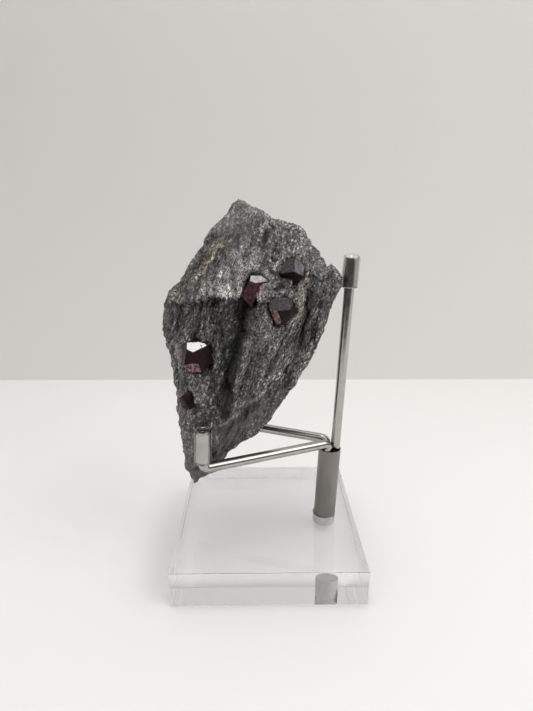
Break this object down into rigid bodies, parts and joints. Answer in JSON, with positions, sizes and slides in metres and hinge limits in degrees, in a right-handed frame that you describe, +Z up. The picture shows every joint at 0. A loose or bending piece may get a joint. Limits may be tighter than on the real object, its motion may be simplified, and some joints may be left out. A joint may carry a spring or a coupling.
{
  "type": "garnet in matrix on a display stand",
  "caption": "Dark mica schist with embedded red-black garnet crystals, held upright by bent wire arms and a rod on a clear block display stand.",
  "frame": {"origin": "centre of the square underside of the base", "axes": "+Z up, +X towards the post side, +Y away from the crystal face"},
  "size_m": [0.052, 0.05, 0.0979],
  "materials": {
    "clear_block": "polished",
    "post_steel": "satin",
    "wire_steel": "satin",
    "clear_tip": "gloss",
    "schist": "matte",
    "garnet": "gloss"
  },
  "bodies": {
    "root": {"base": "clear_block", "post": "post_steel", "rod": "wire_steel", "rod_tip": "clear_tip", "front_arm": "wire_steel", "front_arm_tip": "clear_tip", "back_arm": "wire_steel", "back_arm_tip": "clear_tip", "matrix": "schist", "garnet_upper_right": "garnet", "garnet_upper_middle": "garnet", "garnet_middle": "garnet", "garnet_left": "garnet", "garnet_lower_left": "garnet"}
  },
  "joints": []
}
